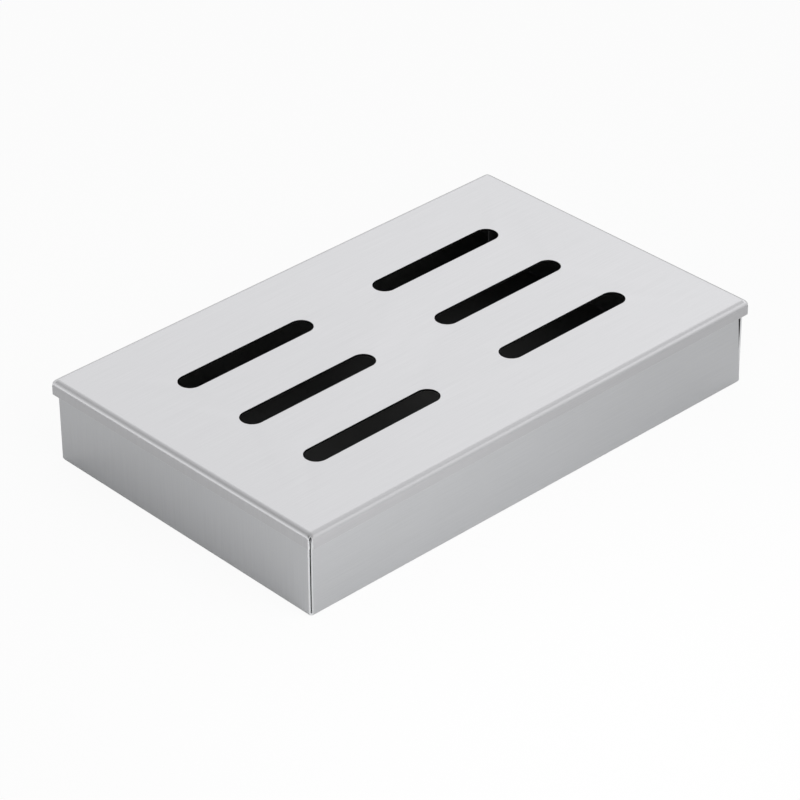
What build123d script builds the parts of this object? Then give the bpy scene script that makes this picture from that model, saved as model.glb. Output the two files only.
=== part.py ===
from build123d import *
import os

# Grill smoker box: an open tray folded from one steel sheet, and a loose lid folded from another.
# Millimetres. The origin is the middle of the tray's underside, X along the long side, Z up.

# Overall size, over the lid
lid_length = 210.0
lid_width = 131.0
box_height = 33.5

# The sheet that both pieces are folded from
sheet = 0.8
lid_bend_inner = 0.6
tray_bend_inner = 0.7

# At each corner the two folded walls end short of each other and stay open
corner_gap = 0.4

# The lid's flanges hang outside the tray, whose rim meets the flat of the lid just inside its bends
flange_height = 5.5
rim_inset = 0.1

# Six smoke slots, in a pattern that stays the same distance from every edge of the lid
slot_columns = 2
slot_rows = 3
slot_width = 8.6
slot_margin = 29.75
slot_bridge = 31.5

# How far a cutting tool reaches past the sheet on each side
overrun = 1.0

# Worked out from the sizes above
lid_to_tray = sheet + lid_bend_inner + rim_inset
tray_length = lid_length - 2 * lid_to_tray
tray_width = lid_width - 2 * lid_to_tray
tray_height = box_height - sheet
slot_length = (lid_length - 2 * slot_margin - (slot_columns - 1) * slot_bridge) / slot_columns
column_pitch = slot_length + slot_bridge
row_pitch = (lid_width - 2 * slot_margin - slot_width) / (slot_rows - 1)


def wall_profile(height, bend_inner):
    """Section of a wall and its bend, with the outer face on X zero and the floor's underside on Y zero."""
    bend_outer = bend_inner + sheet
    with BuildSketch() as section:
        with BuildLine():
            Line((-bend_outer, sheet), (-bend_outer, 0))
            RadiusArc((-bend_outer, 0), (0, bend_outer), -bend_outer)
            Line((0, bend_outer), (0, height))
            Line((0, height), (-sheet, height))
            Line((-sheet, height), (-sheet, bend_outer))
            RadiusArc((-sheet, bend_outer), (-bend_outer, sheet), bend_inner)
        make_face()
    return section.sketch


def folded_wall(run, reach, height, bend_inner, turn):
    """One wall with its bend, run mm long, its outer face reach mm from the middle, turned about Z."""
    upright = Plane(origin=(0, run / 2, 0), x_dir=(1, 0, 0), z_dir=(0, -1, 0))
    strip = extrude(upright * wall_profile(height, bend_inner), run)
    return Rot(0, 0, turn) * Pos(reach, 0, 0) * strip


def folded_pan(length, width, height, bend_inner):
    """A sheet with four walls folded up, its underside on Z zero and its four corners left open."""
    bend_outer = bend_inner + sheet
    notch = sheet + corner_gap
    floor_size = (length - 2 * bend_outer, width - 2 * bend_outer)
    pan = Pos(0, 0, sheet / 2) * Box(*floor_size, sheet)
    for turn in (0, 180):
        pan += folded_wall(width - 2 * notch, length / 2, height, bend_inner, turn)
    for turn in (90, 270):
        pan += folded_wall(length - 2 * notch, width / 2, height, bend_inner, turn)
    return pan


def smoke_slots():
    """The six cutters for the slots, each with full round ends."""
    slot = SlotOverall(slot_length, slot_width)
    places = GridLocations(column_pitch, row_pitch, slot_columns, slot_rows)
    depth = sheet + 2 * overrun
    return [extrude(Pos(0, 0, -overrun) * place * slot, depth) for place in places]


def make_tray():
    return folded_pan(tray_length, tray_width, tray_height, tray_bend_inner)


def make_lid():
    """The same kind of pan, turned over so that its walls hang down as flanges, with the slots cut."""
    blank = folded_pan(lid_length, lid_width, flange_height, lid_bend_inner)
    for cutter in smoke_slots():
        blank -= cutter
    return Pos(0, 0, box_height) * Rot(180, 0, 0) * blank


pieces = {"tray": make_tray(), "lid": make_lid()}

os.makedirs("parts", exist_ok=True)
for name, solid in pieces.items():
    solid.label = name
    export_step(solid, os.path.join("parts", name + ".step"))
    size = solid.bounding_box().size
    print(f"{name}: {len(solid.solids())} solid, {size.X:.2f} x {size.Y:.2f} x {size.Z:.2f} mm")
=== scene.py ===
# %% [markdown]
# # A grill smoker box in brushed stainless steel
#
# The real object is two sheets of steel. One is folded up into a tray for wood chips, the other is
# folded down into a loose lid with six slots. Both were brushed flat, punched and notched flat, and
# only then folded, and this lesson makes them in the same order: a flat blank first, then the folds.
#
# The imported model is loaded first. It is the frame that everything has to fit, in metres, with Z up
# and the origin in the middle of the tray's underside.

# %% Load the frame
from math import cos, pi, radians, sin

import bmesh
import bpy
from mathutils import Matrix, Vector


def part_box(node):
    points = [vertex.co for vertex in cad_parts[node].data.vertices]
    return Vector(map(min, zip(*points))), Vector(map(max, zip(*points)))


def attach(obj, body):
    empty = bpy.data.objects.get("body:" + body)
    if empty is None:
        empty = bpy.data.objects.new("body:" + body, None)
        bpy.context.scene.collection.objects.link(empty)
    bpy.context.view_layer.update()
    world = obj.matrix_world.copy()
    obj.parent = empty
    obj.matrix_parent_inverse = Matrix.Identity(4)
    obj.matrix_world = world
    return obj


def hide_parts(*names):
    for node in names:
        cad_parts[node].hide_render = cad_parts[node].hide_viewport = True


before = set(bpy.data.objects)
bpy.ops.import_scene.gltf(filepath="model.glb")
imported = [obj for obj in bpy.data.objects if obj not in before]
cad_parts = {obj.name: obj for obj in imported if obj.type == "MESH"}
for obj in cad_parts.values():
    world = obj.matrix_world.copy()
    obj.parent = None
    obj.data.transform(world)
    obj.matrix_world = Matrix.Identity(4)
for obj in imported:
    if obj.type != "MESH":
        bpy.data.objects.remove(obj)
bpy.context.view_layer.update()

MM = 0.001
scene = bpy.context.scene

# %% [markdown]
# Two helpers serve the whole lesson. Colours are written as the hex values that a picture editor
# shows, and a renderer needs them linear, so one function turns them. Node trees are built in code,
# and one function adds a node with its settings, its values and its links.


# %% Helpers
def colour(hex_value):
    """A linear RGBA colour from an sRGB hex value such as b8babd."""
    channels = [int(hex_value[i:i + 2], 16) / 255 for i in (0, 2, 4)]
    linear = [c / 12.92 if c <= 0.04045 else ((c + 0.055) / 1.055) ** 2.4 for c in channels]
    return (*linear, 1.0)


def add(tree, kind, inputs=None, **settings):
    """Adds a node. Each input takes a value, another node's socket, or a node for its first socket."""
    node = tree.nodes.new(kind)
    for name, value in settings.items():
        setattr(node, name, value)
    for key, value in (inputs or {}).items():
        if isinstance(value, bpy.types.Node):
            value = next(socket for socket in value.outputs if socket.enabled)
        if isinstance(value, bpy.types.NodeSocket):
            tree.links.new(value, node.inputs[key])
        else:
            node.inputs[key].default_value = value
    return node


print("the hex value 808080 is", round(colour("808080")[0], 3), "linear")

# %% [markdown]
# The camera stands where the photograph's camera stood: far away with a long lens, a third of the
# way up to straight above, looking at the near corner. The values came from matching the edges of a
# box of the real size to the edges in the photograph, which is 800 pixels wide and high. The camera
# was held a little askew, and its roll is in radians.

# %% Camera
PHOTO_WIDTH = 800
SENSOR = 36.0
focal_pixels = 3490.4
camera_azimuth = radians(-43.538)
camera_elevation = radians(32.569)
camera_roll = 0.0062
camera_distance = 1224.3 * MM
aim_right = -2.304 * MM
aim_up = 7.107 * MM

back = Vector((
    sin(camera_azimuth) * cos(camera_elevation),
    -cos(camera_azimuth) * cos(camera_elevation),
    sin(camera_elevation),
))
right = Vector((0, 0, 1)).cross(back).normalized()
up = back.cross(right)
turn = Matrix((right, up, back)).transposed().to_4x4() @ Matrix.Rotation(-camera_roll, 4, "Z")
aim = turn.to_3x3() @ Vector((aim_right, aim_up, 0))

camera = bpy.data.objects.new("camera", bpy.data.cameras.new("camera"))
camera.data.sensor_width = SENSOR
camera.data.lens = focal_pixels * SENSOR / PHOTO_WIDTH
camera.data.clip_start = 0.05
camera.data.clip_end = 50.0
camera.matrix_world = Matrix.Translation(aim + back * camera_distance) @ turn
scene.collection.objects.link(camera)
scene.camera = camera
scene.view_settings.view_transform = "Standard"
print("camera: lens", round(camera.data.lens, 1), "mm at", [round(v, 3) for v in camera.location])

# %% [markdown]
# Steel has no colour of its own to speak of and shows what is around it, so the studio is half of its
# finish. The box stands on white paper, whose reflection fills its sides. To the camera the paper is
# nearly plain white, as it is in the photograph, and only a little of its shadow is kept.

# %% Paper
FLOOR_COLOUR = "d7d7d7"
WHITE_TO_CAMERA = 0.93
WHITE_TO_METAL = 0.05
floor_radius = 6.0
floor_sides = 96
floor_drop = 0.02 * MM


def floor_material():
    """Matt white paper that keeps the shadow, and is partly plain white to the camera and to metal."""
    material = bpy.data.materials.new("matt white paper")
    material.use_nodes = True
    tree = material.node_tree
    tree.nodes.clear()
    paper = add(tree, "ShaderNodeBsdfDiffuse", {"Color": colour(FLOOR_COLOUR)})
    white = add(tree, "ShaderNodeEmission", {"Color": colour("ffffff"), "Strength": 1.0})
    rays = add(tree, "ShaderNodeLightPath").outputs
    mirrored = add(tree, "ShaderNodeMath", {
        0: rays["Is Glossy Ray"], 1: rays["Is Transmission Ray"]}, operation="MAXIMUM")
    to_metal = add(tree, "ShaderNodeMath", {0: mirrored, 1: WHITE_TO_METAL}, operation="MULTIPLY")
    share = add(tree, "ShaderNodeMath", {
        0: rays["Is Camera Ray"], 1: WHITE_TO_CAMERA, 2: to_metal}, operation="MULTIPLY_ADD")
    mixed = add(tree, "ShaderNodeMixShader", {0: share, 1: paper, 2: white})
    add(tree, "ShaderNodeOutputMaterial", {"Surface": mixed})
    return material


def make_floor():
    """A flat disc just under the tray."""
    mesh = bpy.data.meshes.new("floor")
    form = bmesh.new()
    bmesh.ops.create_circle(form, cap_ends=True, segments=floor_sides, radius=floor_radius)
    form.to_mesh(mesh)
    form.free()
    mesh.materials.append(floor_material())
    floor = bpy.data.objects.new("floor", mesh)
    floor.location.z = -floor_drop
    scene.collection.objects.link(floor)


make_floor()
print("paper:", FLOOR_COLOUR, "and", WHITE_TO_CAMERA, "plain white to the camera")

# %% [markdown]
# The walls of this studio are brightest half way up behind the box, and the lid's top shows that part.
# They are darker at the foot, which gives the far edges of the lid a thin dark outline, and there is a
# dim gap below the panel overhead, which is the thin dark line along each near fold. All of that is one
# glow from far away, so it is written as levels at a few heights, for the bright side and the dull one.

# %% Walls and panel overhead
SKY_HEIGHTS = (0.0, 0.4, 0.61, 0.69, 0.8, 1.0)
BRIGHT_SIDE = (0.42, 1.2, 1.85, 0.7, 1.25, 0.6)
DULL_SIDE = (1.65, 0.85, 0.1, 0.0, 0.0, 0.6)
BRIGHTEST = 2.0
bright_azimuth = radians(16)


def height_ramp(tree, height, levels):
    """How bright one side of the studio is from the horizon to overhead."""
    ramp = add(tree, "ShaderNodeValToRGB", {0: height})
    stops = ramp.color_ramp.elements
    for place in SKY_HEIGHTS[1:-1]:
        stops.new(place)
    for stop, level in zip(stops, levels):
        share = level / BRIGHTEST
        stop.color = (share, share, share, 1.0)
    return ramp


def make_world():
    """The walls and the panel overhead, as one soft glow from every direction."""
    world = bpy.data.worlds.new("studio")
    world.use_nodes = True
    tree = world.node_tree
    tree.nodes.clear()
    direction = add(tree, "ShaderNodeTexCoord").outputs["Generated"]
    height = add(tree, "ShaderNodeSeparateXYZ", {0: direction}).outputs["Z"]
    bright_way = (cos(bright_azimuth), sin(bright_azimuth), 0.0)
    side = add(tree, "ShaderNodeVectorMath", {0: direction, 1: bright_way},
               operation="DOT_PRODUCT").outputs["Value"]
    share = add(tree, "ShaderNodeMath", {0: side, 1: 0.5, 2: 0.5}, operation="MULTIPLY_ADD")
    glows = [
        add(tree, "ShaderNodeBackground", {
            "Color": height_ramp(tree, height, levels), "Strength": BRIGHTEST})
        for levels in (DULL_SIDE, BRIGHT_SIDE)
    ]
    both = add(tree, "ShaderNodeMixShader", {0: share, 1: glows[0], 2: glows[1]})
    add(tree, "ShaderNodeOutputWorld", {"Surface": both})
    scene.world = world


make_world()
print("walls: glow from", min(DULL_SIDE), "to", max(BRIGHT_SIDE))

# %% [markdown]
# One soft lamp hangs close by at the front left and lights the paper most at the near corner, which
# is why both sides fade away from that corner. The lamp itself isn't mirrored in the steel, and the
# camera doesn't see it.

# %% Lamp
lamp_radiance = 3.6
lamp_size = 200 * MM
lamp_distance = 300 * MM
lamp_azimuth = radians(-110)
lamp_elevation = radians(45)


def make_lamp():
    """A square soft box that faces the middle of the frame."""
    data = bpy.data.lights.new("soft box", "AREA")
    data.size = lamp_size
    data.energy = lamp_radiance * pi * lamp_size ** 2
    lamp = bpy.data.objects.new("soft box", data)
    way = Vector((
        cos(lamp_azimuth) * cos(lamp_elevation),
        sin(lamp_azimuth) * cos(lamp_elevation),
        sin(lamp_elevation),
    ))
    lamp.location = way * lamp_distance
    lamp.rotation_euler = way.to_track_quat("Z", "Y").to_euler()
    lamp.visible_camera = False
    lamp.visible_glossy = False
    scene.collection.objects.link(lamp)


make_lamp()
print("lamp:", round(lamp_size / MM), "mm wide,", round(lamp_distance / MM), "mm away")

# %% [markdown]
# ## The finishes
#
# The sheet has four surfaces to show. Its good side is brushed: a belt drew fine grooves along the
# sheet, so each reflection is smeared across the grooves. Real grooves are too fine to show at this
# size, and these are drawn half a millimetre wide. The lid's steel is a shade darker than the tray's:
# painted shade, which is what sets its flanges off from the walls below them.

# %% Brushed side
BLANK_MAP = "blank"
groove_width = 0.5 * MM
groove_length = 25.0 * MM
groove_detail = 3.0
groove_share = 0.25
crest_share = 0.75


def brushed_stainless(name, groove_tone, crest_tone):
    """Stainless steel brushed along the sheet, with grooves that follow it round every fold."""
    material = bpy.data.materials.new(name)
    material.use_nodes = True
    tree = material.node_tree
    tree.nodes.clear()
    place = add(tree, "ShaderNodeUVMap", uv_map=BLANK_MAP)
    tangent = add(tree, "ShaderNodeTangent", direction_type="UV_MAP", uv_map=BLANK_MAP)
    stretch = (1 / groove_length, 1 / groove_width, 1.0)
    lines = add(tree, "ShaderNodeMapping", {"Vector": place, "Scale": stretch})
    grooves = add(tree, "ShaderNodeTexNoise", {"Vector": lines, "Scale": 1.0, "Detail": groove_detail},
                  noise_dimensions="2D")
    tone = add(tree, "ShaderNodeValToRGB", {0: grooves})
    tone.color_ramp.elements[0].position = groove_share
    tone.color_ramp.elements[0].color = colour(groove_tone)
    tone.color_ramp.elements[1].position = crest_share
    tone.color_ramp.elements[1].color = colour(crest_tone)
    shader = add(tree, "ShaderNodeBsdfPrincipled", {
        "Base Color": tone,
        "Metallic": 1.0,
        "Roughness": 0.3,
        "Anisotropic": 0.7,
        "Anisotropic Rotation": 0.25,
        "Tangent": tangent,
    })
    add(tree, "ShaderNodeOutputMaterial", {"Surface": shader})
    return material


# The lid's tones are a shade darker than the tray's: painted shade that sets its flanges off from the
# walls below.
lid_steel = brushed_stainless("brushed stainless steel of the lid", "c9c9cb", "cdcdcf")
tray_steel = brushed_stainless("brushed stainless steel of the tray", "cdced0", "d1d2d4")
print("brushed:", lid_steel.name, "and", tray_steel.name)

# %% [markdown]
# The other three surfaces have no grooves. The back is the mill side, as the sheet left the rolling
# mill, and it ends up inside the box. The cut edges were sheared and deburred. The punch tore its way
# through the slots, and left their walls rough.


# %% Mill side, cut edges and slots
def plain_steel(name, tone, roughness):
    """Stainless steel without grooves."""
    material = bpy.data.materials.new(name)
    material.use_nodes = True
    shader = material.node_tree.nodes["Principled BSDF"]
    shader.inputs["Base Color"].default_value = colour(tone)
    shader.inputs["Metallic"].default_value = 1.0
    shader.inputs["Roughness"].default_value = roughness
    return material


finishes = {
    # Dull, even and darker than the brushed side
    "Inside": plain_steel("mill finish stainless steel", "808080", roughness=0.85),
    # Painted highlight: brighter than bare steel, so that an open corner shows the sheet's thickness as
    # two light lines
    "Cut Edge": plain_steel("sheared stainless steel edge with painted highlight", "f4f5f6", roughness=0.35),
    # Painted shade: dark, so that a slot looks black right up to its rim
    "Slot Wall": plain_steel("punched stainless steel with painted shade", "3c3c3c", roughness=0.5),
}
print("plain:", [material.name for material in finishes.values()])

# %% [markdown]
# ## The folded sheet, as one rule
#
# The tray and the lid follow the same rule, so one Geometry Nodes tree makes both. It lays out a
# flat blank, a rectangle with its four corners notched out and slots punched through, gives it the
# sheet's thickness, and then folds it: what lies past a fold line is wound round the bend, and what
# lies past the bend goes straight down. The flat place of each point is kept as a map, so the
# brushed grooves run with the sheet: along the long walls, but upright on the short ones.

# %% The tree's inputs
LENGTHS = ("Length", "Width", "Depth", "Sheet", "Bend", "Notch", "Far Notch", "Slant",
           "Cut Back", "Slot Length", "Slot Width", "Column Pitch", "Row Pitch")
COUNTS = ("Bend Steps", "Slot Columns", "Slot Rows", "Slot Sides")
PLACES = ("Place", "Turn", "Slots Place", "Slots Turn")
SURFACES = ("Outside", "Inside", "Cut Edge", "Slot Wall")
merge_distance = 0.005 * MM


def open_tree():
    """An empty Geometry Nodes tree with the folded sheet's named inputs."""
    tree = bpy.data.node_groups.new("Folded sheet", "GeometryNodeTree")
    tree.interface.new_socket(name="Geometry", in_out="OUTPUT", socket_type="NodeSocketGeometry")
    kinds = ((LENGTHS, "NodeSocketFloat"), (COUNTS, "NodeSocketInt"),
             (PLACES, "NodeSocketVector"), (SURFACES, "NodeSocketMaterial"))
    for names, kind in kinds:
        for name in names:
            tree.interface.new_socket(name=name, in_out="INPUT", socket_type=kind)
    return tree


folding = open_tree()
given = add(folding, "NodeGroupInput").outputs
print("inputs:", len(LENGTHS + COUNTS + PLACES + SURFACES))

# %% [markdown]
# The fold lines come first, as vectors that hold the long way in X and the short way in Y. The flat
# middle of the blank ends where the bends begin, one bend radius in from the outer faces. The bend's
# outer skin is a quarter turn long. The corner notches reach a little way into the bends, so that
# each wall stops short of the next one. On the side that -Y points to, the notches have a width of
# their own, which lets the short walls run on behind the long one there and close the corner.


# %% Fold lines
def fold_lines(tree, given):
    """Half the flat middle, the length of the bend's skin, where the notches end in it, the wall."""
    size = add(tree, "ShaderNodeCombineXYZ", {0: given["Length"], 1: given["Width"]})
    half = add(tree, "ShaderNodeVectorMath", {0: size, "Scale": 0.5}, operation="SCALE")
    both = add(tree, "ShaderNodeCombineXYZ", {0: given["Bend"], 1: given["Bend"]})
    middle = add(tree, "ShaderNodeVectorMath", {0: half, 1: both}, operation="SUBTRACT")
    skin = add(tree, "ShaderNodeMath", {0: given["Bend"], 1: pi / 2}, operation="MULTIPLY")
    notches = []
    for name in ("Notch", "Far Notch"):
        inward = add(tree, "ShaderNodeMath", {0: given["Bend"], 1: given[name]}, operation="SUBTRACT")
        sine = add(tree, "ShaderNodeMath", {0: inward, 1: given["Bend"]}, operation="DIVIDE")
        angle = add(tree, "ShaderNodeMath", {0: sine}, operation="ARCSINE")
        notches.append(add(tree, "ShaderNodeMath", {0: angle, 1: given["Bend"]}, operation="MULTIPLY"))
    wall = add(tree, "ShaderNodeMath", {0: given["Depth"], 1: given["Bend"]}, operation="SUBTRACT")
    return {"middle": middle, "skin": skin, "notch": notches[0], "far notch": notches[1], "wall": wall}


lines = fold_lines(folding, given)
print("fold lines:", ", ".join(lines))

# %% [markdown]
# The walls and bends of the blank start as a plain grid with one cell for the flat middle. Its lines
# are then pulled to where they belong: fold line, notch line, the steps of the bend, and the rim.
# The middle cell goes, because the slotted panel takes its place, and so do the notched corners.


# %% Flat strips
def side_notch(tree, lines, place):
    """Where the notches end in the bends, as a vector, for the side that a place is on."""
    y = add(tree, "ShaderNodeSeparateXYZ", {0: place}).outputs[1]
    far_side = add(tree, "ShaderNodeMath", {0: y, 1: 0.0}, operation="LESS_THAN")
    along_y = add(tree, "GeometryNodeSwitch", {
        "Switch": far_side, "False": lines["notch"], "True": lines["far notch"],
    }, input_type="FLOAT")
    return add(tree, "ShaderNodeCombineXYZ", {0: lines["notch"], 1: along_y})


def flat_strips(tree, given, lines):
    """The blank's bends and walls, flat, without the middle and without the notched corners."""
    # Each side has a line at the fold, steps to the notch's end, steps round the bend, and the rim
    steps = given["Bend Steps"]
    line_count = add(tree, "ShaderNodeMath", {0: steps, 1: 4.0, 2: 4.0}, operation="MULTIPLY_ADD")
    span = add(tree, "ShaderNodeMath", {0: line_count, 1: 1.0}, operation="SUBTRACT")
    grid = add(tree, "GeometryNodeMeshGrid", {
        "Size X": span, "Size Y": span, "Vertices X": line_count, "Vertices Y": line_count})

    here = add(tree, "GeometryNodeInputPosition")
    side = add(tree, "ShaderNodeVectorMath", {0: here}, operation="SIGN")
    far = add(tree, "ShaderNodeVectorMath", {0: here}, operation="ABSOLUTE")
    line = add(tree, "ShaderNodeVectorMath", {0: far, 1: (0.5, 0.5, 0.5)}, operation="SUBTRACT")

    notch = side_notch(tree, lines, here)
    in_notch = add(tree, "ShaderNodeVectorMath", {0: line, 1: steps}, operation="MINIMUM")
    notch_step = add(tree, "ShaderNodeVectorMath", {0: notch, 1: steps}, operation="DIVIDE")
    to_notch = add(tree, "ShaderNodeVectorMath", {0: in_notch, 1: notch_step}, operation="MULTIPLY")

    past_notch = add(tree, "ShaderNodeVectorMath", {0: line, 1: in_notch}, operation="SUBTRACT")
    in_bend = add(tree, "ShaderNodeVectorMath", {0: past_notch, 1: steps}, operation="MINIMUM")
    rest_of_bend = add(tree, "ShaderNodeVectorMath", {0: lines["skin"], 1: notch},
                       operation="SUBTRACT")
    bend_step = add(tree, "ShaderNodeVectorMath", {0: rest_of_bend, 1: steps}, operation="DIVIDE")
    round_bend = add(tree, "ShaderNodeVectorMath", {0: in_bend, 1: bend_step},
                     operation="MULTIPLY")

    past_bend = add(tree, "ShaderNodeVectorMath", {0: past_notch, 1: in_bend}, operation="SUBTRACT")
    down_wall = add(tree, "ShaderNodeVectorMath", {0: past_bend, "Scale": lines["wall"]},
                    operation="SCALE")

    at_notch = add(tree, "ShaderNodeVectorMath", {0: lines["middle"], 1: to_notch}, operation="ADD")
    at_step = add(tree, "ShaderNodeVectorMath", {0: at_notch, 1: round_bend}, operation="ADD")
    at_line = add(tree, "ShaderNodeVectorMath", {0: at_step, 1: down_wall}, operation="ADD")
    place = add(tree, "ShaderNodeVectorMath", {0: at_line, 1: side}, operation="MULTIPLY")
    pulled = add(tree, "GeometryNodeSetPosition", {"Geometry": grid, "Position": place})

    spot = add(tree, "GeometryNodeInputPosition")
    spread = add(tree, "ShaderNodeVectorMath", {0: spot}, operation="ABSOLUTE")
    over = add(tree, "ShaderNodeVectorMath", {0: spread, 1: lines["middle"]}, operation="SUBTRACT")
    overs = add(tree, "ShaderNodeSeparateXYZ", {0: over}).outputs
    highest = add(tree, "ShaderNodeMath", {0: overs[0], 1: overs[1]}, operation="MAXIMUM")
    in_middle = add(tree, "ShaderNodeMath", {0: highest, 1: 0.0}, operation="LESS_THAN")
    beyond = add(tree, "ShaderNodeVectorMath", {0: over, 1: side_notch(tree, lines, spot)},
                 operation="SUBTRACT")
    beyonds = add(tree, "ShaderNodeSeparateXYZ", {0: beyond}).outputs
    lowest = add(tree, "ShaderNodeMath", {0: beyonds[0], 1: beyonds[1]}, operation="MINIMUM")
    in_corner = add(tree, "ShaderNodeMath", {0: lowest, 1: 0.0}, operation="GREATER_THAN")
    unwanted = add(tree, "ShaderNodeMath", {0: in_middle, 1: in_corner}, operation="MAXIMUM")
    return add(tree, "GeometryNodeDeleteGeometry", {"Geometry": pulled, "Selection": unwanted},
               domain="FACE")


strips = flat_strips(folding, given, lines)
print("flat strips:", len(folding.nodes), "nodes so far")

# %% [markdown]
# The tray's notches were cut at a slant, so that the long walls end a little farther back at the rim
# than at the fold, and the corners open towards the rim. The notch at one corner was cut too deep, and
# the wall ends short there. Only the rim's points near the ends move, and the wall's edge follows them.


# %% Slanted notches
def slant(tree, given, lines, strips):
    """The strips with the ends of the long walls moved at the rim."""
    here = add(tree, "GeometryNodeInputPosition")
    way = add(tree, "ShaderNodeVectorMath", {0: here}, operation="SIGN")
    ways = add(tree, "ShaderNodeSeparateXYZ", {0: way}).outputs
    far = add(tree, "ShaderNodeVectorMath", {0: here}, operation="ABSOLUTE")
    past = add(tree, "ShaderNodeVectorMath", {0: far, 1: lines["middle"]}, operation="SUBTRACT")
    pasts = add(tree, "ShaderNodeSeparateXYZ", {0: past}).outputs
    before_end = add(tree, "ShaderNodeMath", {0: lines["notch"], 1: -0.5}, operation="MULTIPLY")
    half_wall = add(tree, "ShaderNodeMath", {0: lines["wall"], 1: 0.5}, operation="MULTIPLY")
    mid_wall = add(tree, "ShaderNodeMath", {0: lines["skin"], 1: half_wall}, operation="ADD")
    at_end = add(tree, "ShaderNodeMath", {0: pasts[0], 1: before_end}, operation="GREATER_THAN")
    at_rim = add(tree, "ShaderNodeMath", {0: pasts[1], 1: mid_wall}, operation="GREATER_THAN")
    moved = add(tree, "ShaderNodeMath", {0: at_end, 1: at_rim}, operation="MINIMUM")

    both_ways = add(tree, "ShaderNodeMath", {0: ways[0], 1: ways[1]}, operation="MINIMUM")
    one_corner = add(tree, "ShaderNodeMath", {0: both_ways, 1: 0.0}, operation="GREATER_THAN")
    cut = add(tree, "ShaderNodeMath", {0: one_corner, 1: given["Cut Back"]}, operation="MULTIPLY")
    inwards = add(tree, "ShaderNodeMath", {0: given["Slant"], 1: cut}, operation="ADD")
    outwards = add(tree, "ShaderNodeMath", {0: inwards, 1: -1.0}, operation="MULTIPLY")
    shift = add(tree, "ShaderNodeMath", {0: outwards, 1: ways[0]}, operation="MULTIPLY")
    return add(tree, "GeometryNodeSetPosition", {
        "Geometry": strips, "Selection": moved,
        "Offset": add(tree, "ShaderNodeCombineXYZ", {0: shift})})


slanted = slant(folding, given, lines, strips)
print("slanted notches:", len(folding.nodes), "nodes so far")

# %% [markdown]
# A slot is a circle pulled apart into two round ends. It is placed once on each point of a small
# grid, which can sit a little off the middle and a little askew, as a blank does in the punch. Filling
# the panel's outline together with the slots leaves the slots open. A sheet with no slots has a grid
# of no points, and its panel is filled whole.


# %% Slotted panel
def slotted_panel(tree, given, lines):
    """The blank's flat middle, with its slots left open."""
    edges = add(tree, "ShaderNodeVectorMath", {0: lines["middle"], "Scale": 2.0}, operation="SCALE")
    sides = add(tree, "ShaderNodeSeparateXYZ", {0: edges}).outputs
    outline = add(tree, "GeometryNodeCurvePrimitiveQuadrilateral",
                  {"Width": sides[0], "Height": sides[1]})

    radius = add(tree, "ShaderNodeMath", {0: given["Slot Width"], 1: 0.5}, operation="MULTIPLY")
    ring = add(tree, "GeometryNodeCurvePrimitiveCircle",
               {"Resolution": given["Slot Sides"], "Radius": radius})
    straight = add(tree, "ShaderNodeMath", {0: given["Slot Length"], 1: given["Slot Width"]},
                   operation="SUBTRACT")
    shift = add(tree, "ShaderNodeMath", {0: straight, 1: 0.5}, operation="MULTIPLY")
    side = add(tree, "ShaderNodeVectorMath", {0: add(tree, "GeometryNodeInputPosition")},
               operation="SIGN")
    apart = add(tree, "ShaderNodeVectorMath",
                {0: side, 1: add(tree, "ShaderNodeCombineXYZ", {0: shift})}, operation="MULTIPLY")
    slot = add(tree, "GeometryNodeSetPosition", {"Geometry": ring, "Offset": apart})

    last_column = add(tree, "ShaderNodeMath", {0: given["Slot Columns"], 1: 1.0}, operation="SUBTRACT")
    last_row = add(tree, "ShaderNodeMath", {0: given["Slot Rows"], 1: 1.0}, operation="SUBTRACT")
    reach_x = add(tree, "ShaderNodeMath", {0: last_column, 1: given["Column Pitch"]},
                  operation="MULTIPLY")
    reach_y = add(tree, "ShaderNodeMath", {0: last_row, 1: given["Row Pitch"]}, operation="MULTIPLY")
    places = add(tree, "GeometryNodeMeshGrid", {
        "Size X": reach_x, "Size Y": reach_y,
        "Vertices X": given["Slot Columns"], "Vertices Y": given["Slot Rows"]})
    placed = add(tree, "GeometryNodeInstanceOnPoints", {"Points": places, "Instance": slot})
    real = add(tree, "GeometryNodeRealizeInstances", {"Geometry": placed})
    slots = add(tree, "GeometryNodeTransform", {
        "Geometry": real, "Translation": given["Slots Place"], "Rotation": given["Slots Turn"]})

    join = add(tree, "GeometryNodeJoinGeometry")
    tree.links.new(slots.outputs[0], join.inputs[0])
    tree.links.new(outline.outputs[0], join.inputs[0])
    return add(tree, "GeometryNodeFillCurve", {"Curve": join}, mode="NGONS")


panel = slotted_panel(folding, given, lines)
print("slotted panel:", len(folding.nodes), "nodes so far")

# %% [markdown]
# The panel and the strips become one skin, whose flat places are stored as the map. Extruding the
# skin by the sheet's thickness makes the brushed side and the cut edges, and a copy of it, turned
# over, closes the back.


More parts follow.
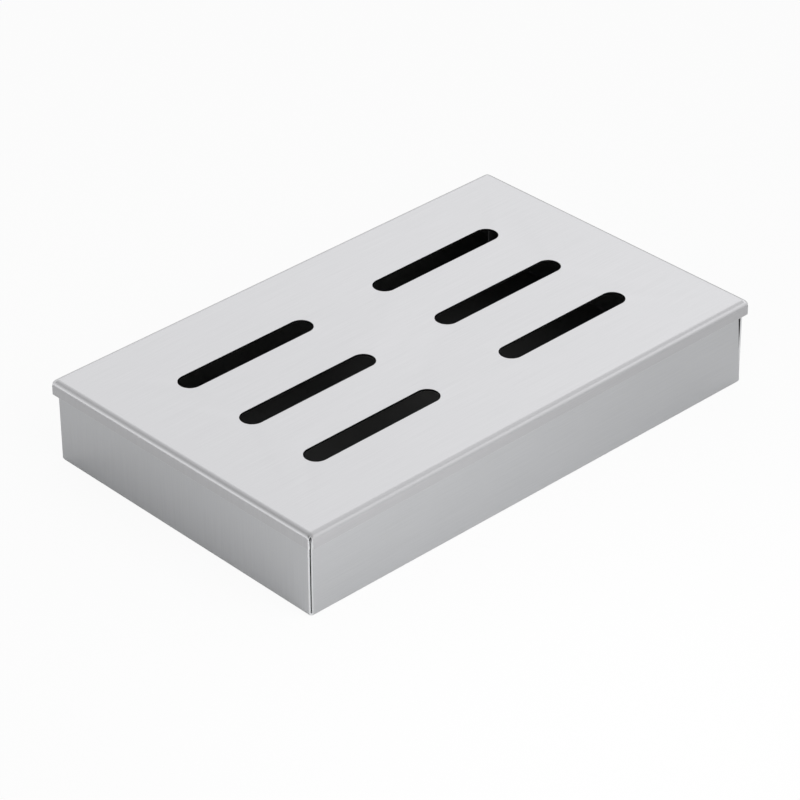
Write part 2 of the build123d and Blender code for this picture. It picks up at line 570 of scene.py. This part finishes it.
# %% Thickness
def thick_blank(tree, given, strips, panel):
    """The closed flat blank, its outer face at height zero, and the extrusion that made it."""
    skin = add(tree, "GeometryNodeJoinGeometry")
    tree.links.new(panel.outputs[0], skin.inputs[0])
    tree.links.new(strips.outputs[0], skin.inputs[0])
    whole = add(tree, "GeometryNodeMergeByDistance",
                {"Geometry": skin, "Distance": merge_distance})
    mapped = add(tree, "GeometryNodeStoreNamedAttribute", {
        "Geometry": whole, "Name": BLANK_MAP, "Value": add(tree, "GeometryNodeInputPosition"),
    }, data_type="FLOAT2", domain="CORNER")
    down = add(tree, "ShaderNodeMath", {0: given["Sheet"], 1: -1.0}, operation="MULTIPLY")
    back_face = add(tree, "GeometryNodeSetPosition", {
        "Geometry": mapped, "Offset": add(tree, "ShaderNodeCombineXYZ", {2: down})})
    front = add(tree, "GeometryNodeExtrudeMesh", {
        "Mesh": back_face, "Offset Scale": given["Sheet"], "Individual": False}, mode="FACES")
    closed = add(tree, "GeometryNodeJoinGeometry")
    tree.links.new(front.outputs["Mesh"], closed.inputs[0])
    flipped = add(tree, "GeometryNodeFlipFaces", {"Mesh": back_face})
    tree.links.new(flipped.outputs[0], closed.inputs[0])
    blank = add(tree, "GeometryNodeMergeByDistance",
                {"Geometry": closed, "Distance": merge_distance})
    return blank, front


blank, front = thick_blank(folding, given, slanted, panel)
print("thick blank:", len(folding.nodes), "nodes so far")

# %% [markdown]
# Folding is one move of every point. How far a point lies past the fold line, divided by the bend's
# radius, is its angle round the bend, and that gives its place on the brushed side. What is left past
# a quarter turn goes straight down. The point's depth in the sheet then takes it in from there,
# square to the brushed side, so the sheet keeps its thickness and its edges stay square.


# %% Fold
def fold(tree, given, lines, blank):
    """The blank with all four walls folded down."""
    here = add(tree, "GeometryNodeInputPosition")
    depth = add(tree, "ShaderNodeSeparateXYZ", {0: here}).outputs[2]
    flat = add(tree, "ShaderNodeVectorMath", {0: here, 1: (1.0, 1.0, 0.0)}, operation="MULTIPLY")
    side = add(tree, "ShaderNodeVectorMath", {0: flat}, operation="SIGN")
    far = add(tree, "ShaderNodeVectorMath", {0: flat}, operation="ABSOLUTE")
    before = add(tree, "ShaderNodeVectorMath", {0: far, 1: lines["middle"]}, operation="MINIMUM")
    over = add(tree, "ShaderNodeVectorMath", {0: far, 1: before}, operation="SUBTRACT")
    in_bend = add(tree, "ShaderNodeVectorMath", {0: over, 1: lines["skin"]}, operation="MINIMUM")
    past = add(tree, "ShaderNodeVectorMath", {0: over, 1: in_bend}, operation="SUBTRACT")
    angle = add(tree, "ShaderNodeVectorMath", {0: in_bend, 1: given["Bend"]}, operation="DIVIDE")
    sine = add(tree, "ShaderNodeVectorMath", {0: angle}, operation="SINE")
    cosine = add(tree, "ShaderNodeVectorMath", {0: angle}, operation="COSINE")
    sines = add(tree, "ShaderNodeSeparateXYZ", {0: sine}).outputs
    cosines = add(tree, "ShaderNodeSeparateXYZ", {0: cosine}).outputs

    outwards = add(tree, "ShaderNodeVectorMath", {0: sine, "Scale": given["Bend"]}, operation="SCALE")
    reach = add(tree, "ShaderNodeVectorMath", {0: before, 1: outwards}, operation="ADD")
    level = add(tree, "ShaderNodeMath", {0: cosines[0], 1: cosines[1]}, operation="MULTIPLY")
    above_centre = add(tree, "ShaderNodeMath", {0: level, 1: given["Bend"]}, operation="MULTIPLY")
    above_wall = add(tree, "ShaderNodeMath", {0: above_centre, 1: given["Bend"]},
                     operation="SUBTRACT")
    down_wall = add(tree, "ShaderNodeVectorMath", {0: past, 1: (1.0, 1.0, 0.0)},
                    operation="DOT_PRODUCT")
    height = add(tree, "ShaderNodeMath", {0: above_wall, 1: down_wall}, operation="SUBTRACT")
    upright = add(tree, "ShaderNodeCombineXYZ", {2: height})
    on_skin = add(tree, "ShaderNodeVectorMath", {0: reach, 1: upright}, operation="ADD")

    lean_x = add(tree, "ShaderNodeMath", {0: sines[0], 1: cosines[1]}, operation="MULTIPLY")
    lean_y = add(tree, "ShaderNodeMath", {0: sines[1], 1: cosines[0]}, operation="MULTIPLY")
    lean = add(tree, "ShaderNodeCombineXYZ", {0: lean_x, 1: lean_y, 2: level})
    square = add(tree, "ShaderNodeVectorMath", {0: lean}, operation="NORMALIZE")
    way_in = add(tree, "ShaderNodeVectorMath", {0: square, "Scale": depth}, operation="SCALE")
    in_sheet = add(tree, "ShaderNodeVectorMath", {0: on_skin, 1: way_in}, operation="ADD")
    quarter = add(tree, "ShaderNodeVectorMath", {0: side, 1: (0.0, 0.0, 1.0)}, operation="ADD")
    folded = add(tree, "ShaderNodeVectorMath", {0: in_sheet, 1: quarter}, operation="MULTIPLY")
    return add(tree, "GeometryNodeSetPosition", {"Geometry": blank, "Position": folded})


folded = fold(folding, given, lines, blank)
print("fold:", len(folding.nodes), "nodes so far")

# %% [markdown]
# The sharp edges are marked for the deburring that follows, each with its share of the full width.
# The slots stay crisp, and so theirs is small. They are the only sharp edges within the flat middle.


# %% Marked edges
EDGE_MARK = "bevel_weight_edge"
sharp_angle = radians(40)
slot_share = 0.3


def within_middle(tree, lines):
    """Whether something lies inside the flat middle, away from the bends."""
    far = add(tree, "ShaderNodeVectorMath", {0: add(tree, "GeometryNodeInputPosition")},
              operation="ABSOLUTE")
    over = add(tree, "ShaderNodeVectorMath", {0: far, 1: lines["middle"]}, operation="SUBTRACT")
    overs = add(tree, "ShaderNodeSeparateXYZ", {0: over}).outputs
    highest = add(tree, "ShaderNodeMath", {0: overs[0], 1: overs[1]}, operation="MAXIMUM")
    return add(tree, "ShaderNodeMath", {0: highest, 1: -merge_distance}, operation="LESS_THAN")


def mark_edges(tree, lines, folded):
    """The folded sheet with the share of the edge break stored on each sharp edge."""
    angle = add(tree, "GeometryNodeInputMeshEdgeAngle").outputs["Unsigned Angle"]
    sharp = add(tree, "ShaderNodeMath", {0: angle, 1: sharp_angle}, operation="GREATER_THAN")
    share = add(tree, "GeometryNodeSwitch", {
        "Switch": within_middle(tree, lines), "False": 1.0, "True": slot_share}, input_type="FLOAT")
    mark = add(tree, "ShaderNodeMath", {0: sharp, 1: share}, operation="MULTIPLY")
    return add(tree, "GeometryNodeStoreNamedAttribute", {
        "Geometry": folded, "Name": EDGE_MARK, "Value": mark}, data_type="FLOAT", domain="EDGE")


marked = mark_edges(folding, lines, folded)
print("marked edges:", len(folding.nodes), "nodes so far")

# %% [markdown]
# The folded sheet is turned and put in its place, and gets its finishes: the mill side everywhere,
# then the cut edges and the brushed side where the extrusion made them, and the walls of the slots.


# %% Finished tree
def finish_tree(tree, given, lines, marked, front):
    """Places the folded sheet, gives it its finishes and ends the tree."""
    placed = add(tree, "GeometryNodeTransform", {
        "Geometry": marked, "Translation": given["Place"], "Rotation": given["Turn"]})
    smooth = add(tree, "GeometryNodeSetShadeSmooth", {"Geometry": placed})
    real = add(tree, "GeometryNodeRealizeInstances", {"Geometry": smooth})
    inside = add(tree, "GeometryNodeSetMaterial", {"Geometry": real, "Material": given["Inside"]})
    edges = add(tree, "GeometryNodeSetMaterial", {
        "Geometry": inside, "Selection": front.outputs["Side"], "Material": given["Cut Edge"]})
    brushed = add(tree, "GeometryNodeSetMaterial", {
        "Geometry": edges, "Selection": front.outputs["Top"], "Material": given["Outside"]})
    in_slot = add(tree, "ShaderNodeMath", {
        0: front.outputs["Side"], 1: within_middle(tree, lines)}, operation="MULTIPLY")
    slotted = add(tree, "GeometryNodeSetMaterial", {
        "Geometry": brushed, "Selection": in_slot, "Material": given["Slot Wall"]})
    add(tree, "NodeGroupOutput", {"Geometry": slotted})


finish_tree(folding, given, lines, marked, front)
print("tree:", len(folding.nodes), "nodes,", len(folding.links), "links")

# %% [markdown]
# A piece is an empty mesh with the tree on it as a modifier. The sizes go in by each input's
# identifier before the piece is first evaluated, and an input that isn't given stays at zero. The
# result is taken as a plain mesh, in place of the empty one, and the modifier is removed. A narrow
# bevel then softens the marked edges, as deburring does.


# %% Making a piece
edge_break = 0.25 * MM
edge_segments = 2


def plain_mesh(piece, name):
    """The evaluated piece as a mesh with no modifiers."""
    graph = bpy.context.evaluated_depsgraph_get()
    mesh = bpy.data.meshes.new_from_object(piece.evaluated_get(graph), depsgraph=graph)
    mesh.name = name
    if mesh.materials[0] is None:
        mesh.materials.pop(index=0)
    return mesh


def drop_unused_finishes(mesh):
    """Takes out the material slots that no face has."""
    used = {face.material_index for face in mesh.polygons}
    for index in reversed(range(len(mesh.materials))):
        if index not in used:
            mesh.materials.pop(index=index)


def folded_sheet(name, values):
    """One folded sheet, made by the tree from its values and finished with a bevel."""
    piece = bpy.data.objects.new(name, bpy.data.meshes.new(name))
    scene.collection.objects.link(piece)
    modifier = piece.modifiers.new("fold", "NODES")
    modifier.node_group = folding
    settings = {**values, **finishes}
    for item in folding.interface.items_tree:
        if item.in_out == "INPUT" and item.name in settings:
            modifier[item.identifier] = settings[item.name]
    piece.data = plain_mesh(piece, name)
    piece.modifiers.clear()

    bevel = piece.modifiers.new("deburred edges", "BEVEL")
    bevel.width = edge_break
    bevel.segments = edge_segments
    bevel.limit_method = "WEIGHT"
    bevel.edge_weight = EDGE_MARK
    bevel.loop_slide = False
    bevel.material = piece.data.materials.find(finishes["Cut Edge"].name)
    piece.modifiers.new("flat faces stay flat", "WEIGHTED_NORMAL")
    piece.data = plain_mesh(piece, name)
    piece.modifiers.clear()
    piece.data.name = name
    drop_unused_finishes(piece.data)
    return piece


print("edges: broken by", edge_break / MM, "mm")

# %% [markdown]
# The frame gives the overall sizes of both pieces. The rest are the sizes that a sheet metal
# drawing would give: the thickness, the bends, the notches and the slots. The slots are written 0.4 mm
# wider than the real ones, because the renderer blends the dark of a slot with the light steel beside
# it and so draws it narrower. They sit a little off the middle and askew, and the turn is in radians.

# %% Lid
lid_low, lid_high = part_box("lid")
sheet = 0.8 * MM
lid_bend = 2.4 * MM
lid_notch = 1.12 * MM
bend_steps = 10
slot_columns = 2
slot_rows = 3
slot_width = 9.0 * MM
slot_length = 59.8 * MM
slot_column_pitch = 91.25 * MM
slot_row_pitch = 31.45 * MM
slot_sides = 66
slots_off_middle = (-0.22 * MM, 0.08 * MM, 0.0)
slots_askew = (0.0, 0.0, 0.004)

lid = folded_sheet("folded_lid", {
    "Outside": lid_steel,
    "Length": lid_high.x - lid_low.x,
    "Width": lid_high.y - lid_low.y,
    "Depth": lid_high.z - lid_low.z,
    "Sheet": sheet,
    "Bend": lid_bend,
    "Bend Steps": bend_steps,
    "Notch": lid_notch,
    "Far Notch": lid_notch,
    "Slot Length": slot_length,
    "Slot Width": slot_width,
    "Slot Sides": slot_sides,
    "Slot Columns": slot_columns,
    "Slot Rows": slot_rows,
    "Column Pitch": slot_column_pitch,
    "Row Pitch": slot_row_pitch,
    "Slots Place": slots_off_middle,
    "Slots Turn": slots_askew,
    "Place": (0.0, 0.0, lid_high.z),
})
print("lid:", len(lid.data.polygons), "faces,", [material.name for material in lid.data.materials])

# %% [markdown]
# The tray is the same sheet turned over, deeper and without slots. The lid is loose by 0.7 mm on
# every side, and the tray has turned a third of a degree under it, until it nearly met the flanges.
# It is also half a millimetre shorter than its drawing.

# %% Tray
tray_low, tray_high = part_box("tray")
tray_bend = 1.5 * MM
tray_notch = sheet + 0.22 * MM
tray_far_notch = 0.5 * MM
tray_slant = 0.1 * MM
tray_cut_back = 2.3 * MM
tray_short = 0.5 * MM
tray_off_middle = (0.2 * MM, -0.06 * MM)
tray_askew = -0.0062

tray = folded_sheet("folded_tray", {
    "Outside": tray_steel,
    "Length": tray_high.x - tray_low.x - tray_short,
    "Width": tray_high.y - tray_low.y,
    "Depth": tray_high.z - tray_low.z,
    "Sheet": sheet,
    "Bend": tray_bend,
    "Bend Steps": bend_steps,
    "Notch": tray_notch,
    "Far Notch": tray_far_notch,
    "Slant": tray_slant,
    "Cut Back": tray_cut_back,
    "Place": (*tray_off_middle, tray_low.z),
    "Turn": (pi, 0.0, tray_askew),
})
print("tray:", len(tray.data.polygons), "faces,", [material.name for material in tray.data.materials])

# %% [markdown]
# Each piece rides on its body, so the lid lifts off the tray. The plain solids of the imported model
# step back behind the finished pieces.

# %% Fit to the frame
for piece, node in ((lid, "lid"), (tray, "tray")):
    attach(piece, node)
    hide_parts(node)
